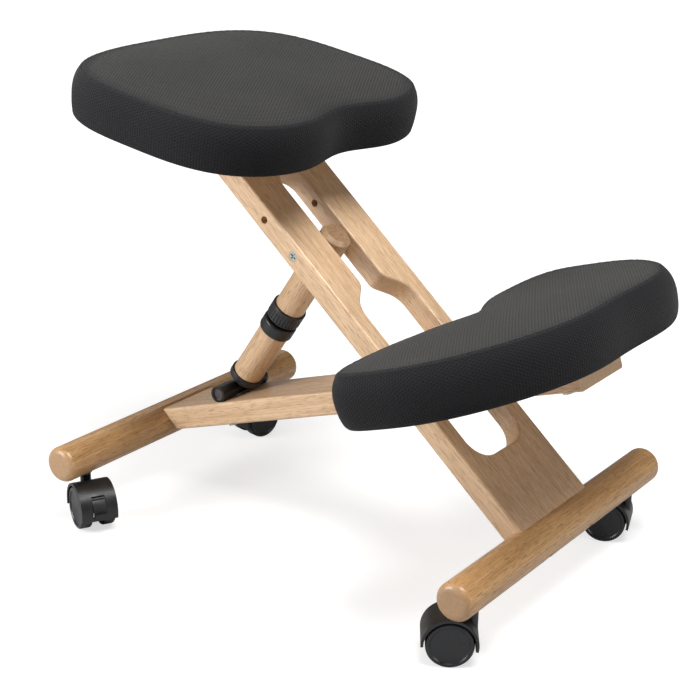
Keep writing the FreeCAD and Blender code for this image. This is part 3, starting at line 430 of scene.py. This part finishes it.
# %% [markdown]
# ## Spacer fabric
# Both pads wear a black knitted spacer fabric, a cloth with a fine honeycomb of small holes. Real knit
# is geometry far too fine to model, so the holes are drawn from three sets of waves that cross at 60
# degrees. The pattern follows the cloth and not the room: each pad mesh carries a "cloth" attribute that
# says where on the flat cloth a point was cut from.
# %% Knit group
KNIT_PITCH = 0.0032
knit, r, taken, given = new_group(
    "spacer_knit", [("Cloth", "Vector", None), ("Pitch", "Float", KNIT_PITCH)],
    [("Thread", "Float"), ("Height", "Float")])
waves = None
for turn in (0, 60, 120):
    across = (math.cos(math.radians(turn)), math.sin(math.radians(turn)), 0)
    dot = r.add("VectorMath", {"operation": "DOT_PRODUCT"}, i0=taken["Cloth"], i1=across).outputs["Value"]
    wave = r.math("COSINE", r.math("MULTIPLY", r.math("DIVIDE", dot, taken["Pitch"]), 2 * math.pi))
    waves = wave if waves is None else r.math("ADD", waves, wave)
thread = r.span(waves, 1.9, -0.2)
loops = r.noise(r.vector("MULTIPLY", taken["Cloth"], (1.0, 0.35, 1.0)), 1400.0, 1.0)
r.put(given, "Thread", thread)
r.put(given, "Height", r.math("ADD", thread, r.math("MULTIPLY", loops, 0.35)))

# %% Fabric material
fabric, r, shader = new_material("black_spacer_fabric")
cloth_place = r.add("Attribute", {"attribute_name": "cloth"}).outputs["Vector"]
weave = r.add("Group", {"node_tree": knit}, Cloth=cloth_place)
wear = r.span(r.noise(cloth_place, 9.0, 3.0), 0.3, 0.7)
top_light_share = r.add("Attribute", {"attribute_name": "top_panel"}).outputs["Fac"]
# The side band's yarn is darker than the top's: painted shade on the band and painted light on the top.
# The band's faint blue is the cloth's own.
lit_top_yarn = r.mix(wear, (0.0315, 0.0306, 0.0290), (0.0405, 0.0391, 0.0366))
shaded_band_yarn = r.mix(wear, (0.0070, 0.0070, 0.0084), (0.0094, 0.0093, 0.0108))
yarn = r.mix(top_light_share, shaded_band_yarn, lit_top_yarn)
seam_valley_shade = r.add("Attribute", {"attribute_name": "seam"}).outputs["Fac"]
colour = r.mix(weave.outputs["Thread"], (0.0050, 0.0050, 0.0062), yarn)
# Darker along the seam: painted shade in the seam's valley.
colour = r.mix(seam_valley_shade, colour, (0.008, 0.008, 0.010))
r.put(shader, "Base Color", colour)
r.put(shader, "Roughness", 0.88)
r.put(shader, "Normal", bump(r, weave.outputs["Height"], 0.75, 0.0007))
r.put(shader, "Sheen Weight", 0.07)
r.put(shader, "Sheen Roughness", 0.45)
r.put(shader, "Specular IOR Level", 0.25)
dress(fabric, "seat_cushion", "knee_cushion")
print("knit group:", len(knit.nodes), "nodes")

# %% [markdown]
# ## The outline of a pad
# Each pad is cut from foam to a soft shape: a rounded rectangle that is a little squarer at the front
# than at the back. The seat has a shallow scoop at the front for the thighs. The knee pad sweeps back at
# its ends and has a notch in the middle of the rear, where the seat arm comes close.
# %% Pad outlines
SEAT_PAD = {
    "half_width": 195.5, "front": 156.0, "rear": 149.5, "front_square": 3.16, "rear_square": 3.04,
    "front_scoop": 18.0, "front_scoop_width": 57.0, "rear_notch": 0.0, "rear_notch_width": 60.0,
    "sweep": 0.0, "band": 52.0, "seam_inset": 8.4, "crown": 10.0, "tuck": 3.5,
}
KNEE_PAD = {
    "half_width": 236.5, "front": 126.0, "rear": 116.0, "front_square": 2.99, "rear_square": 2.44,
    "front_scoop": 14.5, "front_scoop_width": 78.0, "rear_notch": 28.0, "rear_notch_width": 54.5,
    "sweep": 63.0, "band": 57.0, "seam_inset": 10.5, "crown": 8.5, "tuck": 7.0,
}


def outline(pad, angle):
    """Points of the outline in millimetres; angle 0 is the middle of the rear edge."""
    side, ahead = np.sin(angle), np.cos(angle)
    rear = ahead > 0
    depth = np.where(rear, pad["rear"], pad["front"])
    square = np.where(rear, pad["rear_square"], pad["front_square"])
    dent = np.where(rear, -pad["rear_notch"], pad["front_scoop"])
    dent_width = np.where(rear, pad["rear_notch_width"], pad["front_scoop_width"])
    x = pad["half_width"] * np.sign(side) * np.abs(side) ** (2 / square)
    y = depth * np.sign(ahead) * np.abs(ahead) ** (2 / square)
    y = y + dent * np.exp(-(x / dent_width) ** 2) * np.minimum(1.0, 1.6 * np.abs(ahead))
    return np.stack([x, y + pad["sweep"] * (x / pad["half_width"]) ** 2], axis=-1)


def even_outline(pad, count):
    """Outline points at even steps round the edge, with the unit vector that points inwards."""
    fine = outline(pad, np.linspace(0, 2 * math.pi, 4001))
    steps = np.concatenate([[0], np.cumsum(np.linalg.norm(np.diff(fine, axis=0), axis=1))])
    at = np.linspace(0, steps[-1], count + 1)[:-1]
    points = np.stack([np.interp(at, steps, fine[:, k]) for k in (0, 1)], axis=1)
    along = np.roll(points, -1, axis=0) - np.roll(points, 1, axis=0)
    along /= np.linalg.norm(along, axis=1)[:, None]
    inward = np.stack([along[:, 1], -along[:, 0]], axis=1)
    return points, inward, steps[-1]


# %% [markdown]
# ## Sewing the cover
# The cover is a grid of points: columns go round the pad, rows go from under its edge, up the side band,
# over the seam and across the top to the middle. The rows are listed as an inset from the outline and a
# height. The grid starts a little smaller than the finished pad, because the cloth will swell.
# %% Cover grid
COLUMNS = 128
PINNED_ROWS = 3
SWELL = 1.2
CROWN_POWER = 3.5


def cover_rows(pad):
    """(inset, height, scale towards the middle) of every row, from the underside to the crown."""
    band, seam, crown, tuck = pad["band"], pad["seam_inset"], pad["crown"], pad["tuck"]
    rows = [(tuck + 11, 0.4, 1), (tuck + 3, 0.2, 1), (tuck, 2.0, 1), (tuck * 0.55, band * 0.10, 1)]
    rows += [(tuck * 0.25, band * 0.22, 1), (tuck * 0.06, band * 0.38, 1), (0, band * 0.55, 1)]
    rows += [(seam * 0.10, band * 0.70, 1), (seam * 0.34, band * 0.83, 1), (seam * 0.70, band * 0.93, 1)]
    rows += [(seam, band, 1)]
    for scale in (0.965, 0.92, 0.86, 0.78, 0.69, 0.59, 0.48, 0.36, 0.24, 0.12, 0.04):
        rows.append((seam, band + crown * (1 - scale ** CROWN_POWER), scale))
    return rows


def cover_grid(pad, swell=0.0):
    """Row by row points of the cover in millimetres, in the pad's own frame."""
    points, inward, length = even_outline(pad, COLUMNS)
    grid = []
    rows = cover_rows(pad)
    for number, (inset, height, scale) in enumerate(rows):
        spare = swell if number >= PINNED_ROWS else 0.0
        ring = (points + inward * (inset + spare)) * scale
        lower = spare if height > pad["band"] else 0.0
        grid.append(np.column_stack([ring, np.full(COLUMNS, height - lower)]))
    return np.array(grid), [row[1] for row in rows].index(pad["band"]), length


def grid_faces(rows, columns):
    """Quads of a grid that closes round its columns, and a fan over the last row."""
    faces = []
    for a in range(rows - 1):
        for b in range(columns):
            c = (b + 1) % columns
            faces.append((a * columns + b, a * columns + c, (a + 1) * columns + c, (a + 1) * columns + b))
    middle = rows * columns
    last = (rows - 1) * columns
    for b in range(columns):
        faces.append((last + b, last + (b + 1) % columns, middle))
    return faces


def closed_points(grid):
    """The points of a grid as one list, and after them the middle of its last row."""
    return np.vstack([grid.reshape(-1, 3), grid[-1].mean(axis=0)])


def add_object(name, points, faces):
    """A mesh object from points in metres."""
    mesh = bpy.data.meshes.new(name)
    mesh.from_pydata([tuple(p) for p in points], [], faces)
    mesh.update()
    made = bpy.data.objects.new(name, mesh)
    scene.collection.objects.link(made)
    return made


# %% [markdown]
# ## Blowing it up with a cloth simulation
# Blender's cloth solver fills the cover with a little pressure, which is how foam pushes on its cover: the
# side band rounds out between the seam and the base, and the top settles into a soft crown. The lowest
# rows are pinned to the board and the seam is partly pinned, because its allowance makes it stiff. No
# point may end further than FURTHEST millimetres from the cut foam, so the pad keeps its shape.
# %% Cloth simulation
PRESSURE = 0.5
SEAM_HOLD = 0.35
FRAMES = 20
FURTHEST = 2.5


def inflate(pad, name):
    """The cover grid after the cloth simulation, in millimetres, its seam row and the seam's length."""
    goal, seam_row, length = cover_grid(pad)
    start = cover_grid(pad, SWELL)[0]
    cloth = add_object(name + "_pattern", closed_points(start) * MM, grid_faces(len(start), COLUMNS))
    pins = cloth.vertex_groups.new(name="pins")
    pins.add(list(range(PINNED_ROWS * COLUMNS)), 1.0, "REPLACE")
    pins.add(list(range(seam_row * COLUMNS, (seam_row + 1) * COLUMNS)), SEAM_HOLD, "REPLACE")
    modifier = cloth.modifiers.new("fill", "CLOTH")
    settings = modifier.settings
    settings.quality = 6
    settings.mass = 0.35
    settings.tension_stiffness = 40
    settings.compression_stiffness = 40
    settings.shear_stiffness = 8
    settings.bending_stiffness = 2.5
    settings.vertex_group_mass = "pins"
    settings.use_pressure = True
    settings.uniform_pressure_force = PRESSURE
    settings.effector_weights.gravity = 0
    modifier.point_cache.frame_start = 1
    modifier.point_cache.frame_end = FRAMES
    for number in range(1, FRAMES + 1):
        scene.frame_set(number)
    shaped = cloth.evaluated_get(bpy.context.evaluated_depsgraph_get())
    found = np.array([v.co for v in shaped.data.vertices])[:-1].reshape(start.shape) / MM
    bpy.data.objects.remove(cloth)
    scene.frame_set(1)
    away = found - goal
    far = np.linalg.norm(away, axis=2, keepdims=True)
    most, middle = round(float(far.max()), 2), round(float(np.median(far)), 2)
    print(name, "cloth is off by at most", most, "mm, middle", middle)
    return goal + away * FURTHEST / (FURTHEST + far), seam_row, length


# %% [markdown]
# ## Seam and finishing
# The simulated grid is resampled to a finer one, so the pad stays smooth up close. Then the seam is
# pressed in: a narrow valley where the top panel meets the side band, with a slight swell beside it and
# small puckers where the thread pulls. Three attributes go on the mesh: "cloth" for the knit, "seam" for
# a dark line along the valley, which is painted shade in the crease, and one that makes the top paler
# than the band's dark tone: painted light on the top and painted shade on the side band.
# %% Finish a pad
ROW_STEPS = 4
COLUMN_STEPS = 3
VALLEY_DEPTH, VALLEY_WIDTH = 1.2, 1.4
SEAM_SHADE_WIDTH = 1.3


def smooth_steps(grid, times, closed):
    """A grid resampled along its first axis with a cubic that passes through its rows."""
    if closed:
        before, after, later = np.roll(grid, 1, 0), np.roll(grid, -1, 0), np.roll(grid, -2, 0)
        here = grid
    else:
        padded = np.concatenate([2 * grid[:1] - grid[1:2], grid, 2 * grid[-1:] - grid[-2:-1]])
        before, here, after, later = padded[:-3], padded[1:-2], padded[2:-1], padded[3:]
    steps = []
    for k in range(times):
        t = k / times
        steps.append(0.5 * (2 * here + (after - before) * t
                            + (2 * before - 5 * here + 4 * after - later) * t ** 2
                            + (3 * here - before - 3 * after + later) * t ** 3))
    fine = np.stack(steps, axis=1).reshape((-1,) + grid.shape[1:])
    return fine if closed else np.concatenate([fine, grid[-1:]])


def grid_normals(grid):
    """Unit normals of a grid that closes round its second axis, pointing out of the pad."""
    down = np.gradient(grid, axis=0)
    around = np.roll(grid, -1, 1) - np.roll(grid, 1, 1)
    normal = np.cross(down, around)
    return normal / np.maximum(np.linalg.norm(normal, axis=2, keepdims=True), 1e-9)


def upholster(pad, name, place, body, node):
    """Build one finished pad and put it in place of its CAD solid."""
    coarse, seam_row, length = inflate(pad, name)
    grid = smooth_steps(coarse, ROW_STEPS, False)
    grid = smooth_steps(grid.transpose(1, 0, 2), COLUMN_STEPS, True).transpose(1, 0, 2)
    rows, columns = grid.shape[:2]
    seam = seam_row * ROW_STEPS
    climbs = np.linalg.norm(np.diff(grid, axis=0), axis=2)
    climb = np.concatenate([np.zeros((1, columns)), np.cumsum(climbs, 0)])
    off = climb - climb[seam]
    around = np.arange(columns) / columns * length
    chance = np.random.default_rng(7)
    pull = np.zeros(columns)
    for wave in range(9):
        height = chance.normal()
        turns = 2 * math.pi * (around / length) * (38 + 9 * wave)
        pull += height * np.sin(turns + chance.uniform(0, 6))
    pull /= np.abs(pull).max()
    valley = -VALLEY_DEPTH * np.exp(-(off / VALLEY_WIDTH) ** 2)
    valley += 0.2 * np.exp(-((np.abs(off) - 5.0) / 3.2) ** 2)
    pucker = 0.22 * pull[None, :] * np.exp(-((np.abs(off) - 3.5) / 5.0) ** 2)
    normal = grid_normals(grid)
    if normal[seam, :, 2].mean() < 0:
        normal = -normal
    grid = grid + normal * (valley + pucker)[:, :, None]
    pad_object = add_object(name, closed_points(grid) * MM, grid_faces(rows, columns))
    mesh = pad_object.data
    flat = grid.copy()
    flat[:seam + 1, :, 0] = around[None, :]
    flat[:seam + 1, :, 1] = climb[:seam + 1]
    flat = closed_points(flat) * MM
    cloth = mesh.attributes.new("cloth", "FLOAT_VECTOR", "POINT")
    cloth.data.foreach_set("vector", flat.astype(np.float32).ravel())
    # Dark line along the seam valley: painted shade in the crease.
    seam_shade = np.append(np.exp(-(off / SEAM_SHADE_WIDTH) ** 2).ravel(), 0.0)
    # Share of the top's paler yarn: painted light on the top, fading into the band's painted shade across
    # the seam.
    top_light = np.append(np.clip((off + 4) / 20, 0, 1).ravel(), 1.0)
    for label, values in (("seam", seam_shade), ("top_panel", top_light)):
        mark = mesh.attributes.new(label, "FLOAT", "POINT")
        mark.data.foreach_set("value", values.astype(np.float32))
    mesh.polygons.foreach_set("use_smooth", [True] * len(mesh.polygons))
    mesh.materials.append(fabric)
    mesh.transform(place)
    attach(pad_object, body)
    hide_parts(node)
    print(name, "has", len(mesh.vertices), "points; edge length", round(length), "mm")


upholster(SEAT_PAD, "seat_pad", seat_place, "seat_frame", "seat_cushion")
upholster(KNEE_PAD, "knee_pad", knee_place, "knee_frame", "knee_cushion")

# %% [markdown]
# ## The size of the dressed chair
# The box that the dressed chair fills, without the floor, is measured.
# %% Size
low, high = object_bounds()
